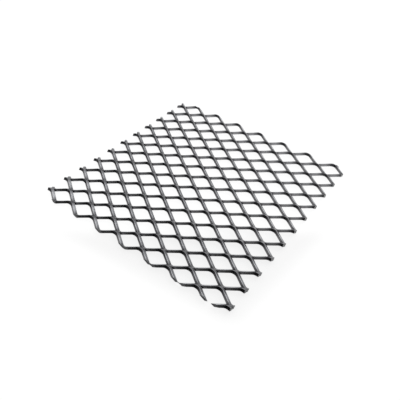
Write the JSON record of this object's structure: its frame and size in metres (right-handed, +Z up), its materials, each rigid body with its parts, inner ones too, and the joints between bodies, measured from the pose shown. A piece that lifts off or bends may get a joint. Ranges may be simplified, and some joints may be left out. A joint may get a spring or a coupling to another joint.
{
  "type": "expanded metal sheet",
  "caption": "Square sheet of raised expanded steel mesh: leaning strands joined at bonds around diamond openings, sheared square on every edge, for guards, grilles and infill panels",
  "frame": {"origin": "centre of the sheet, at the level of the floor that its lower bond edges rest on", "axes": "X along the sheet's edges near the long way of the diamonds, Y along its edges near the short way, Z up through the sheet"},
  "size_m": [0.3, 0.3, 0.0095],
  "materials": {
    "raw_mild_steel": "raw mill finish, grey on the strands and dark with scale at the bonds"
  },
  "bodies": {
    "root": {"expanded_metal_sheet": "raw_mild_steel"}
  },
  "joints": []
}
